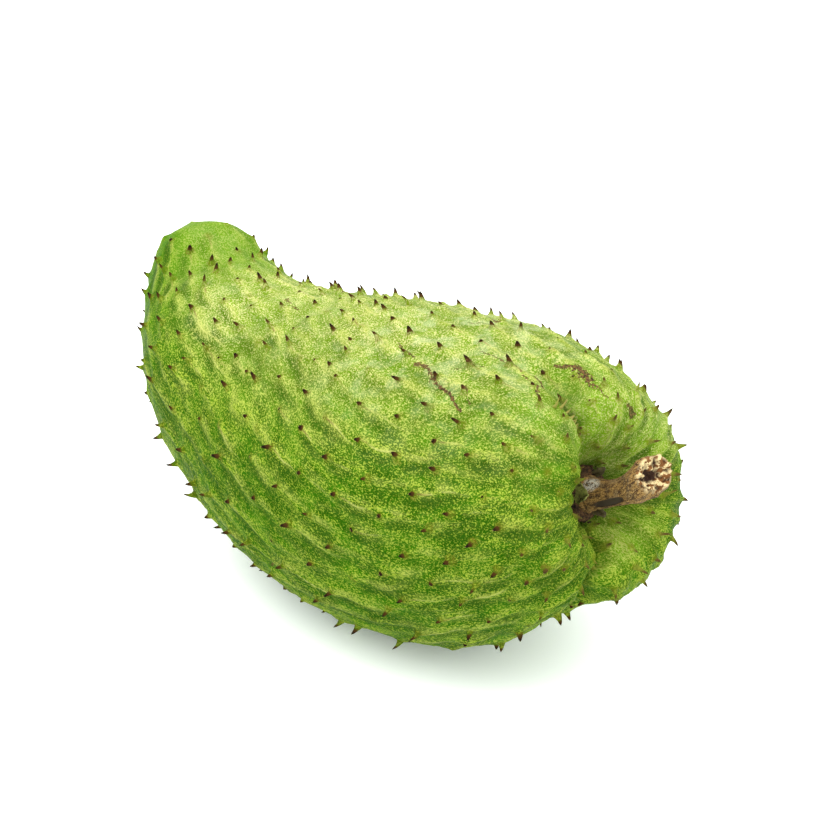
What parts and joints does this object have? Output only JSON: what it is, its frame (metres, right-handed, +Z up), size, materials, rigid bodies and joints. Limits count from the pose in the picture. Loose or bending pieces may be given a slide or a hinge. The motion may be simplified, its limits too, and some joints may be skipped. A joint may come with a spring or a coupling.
{
  "type": "soursop",
  "caption": "Whole spiny green soursop with a bent nose, a corky collar and a cut stem, lying on a small flat spot.",
  "frame": {"origin": "middle of the small flat spot that the fruit rests on", "axes": "+X towards the stem end, -X towards the bent nose, +Z up"},
  "size_m": [0.254, 0.1382, 0.124],
  "materials": {
    "skin": "waxy green skin, speckled yellow-green, half gloss",
    "cork": "rough dark brown cork",
    "bark": "dry grey-brown bark",
    "dried_sepal": "dry, olive to dark brown"
  },
  "bodies": {
    "root": {"fruit": "skin", "collar": "cork", "stem": "bark", "sepal_front": "dried_sepal", "sepal_lower": "dried_sepal", "sepal_back": "dried_sepal"}
  },
  "joints": []
}
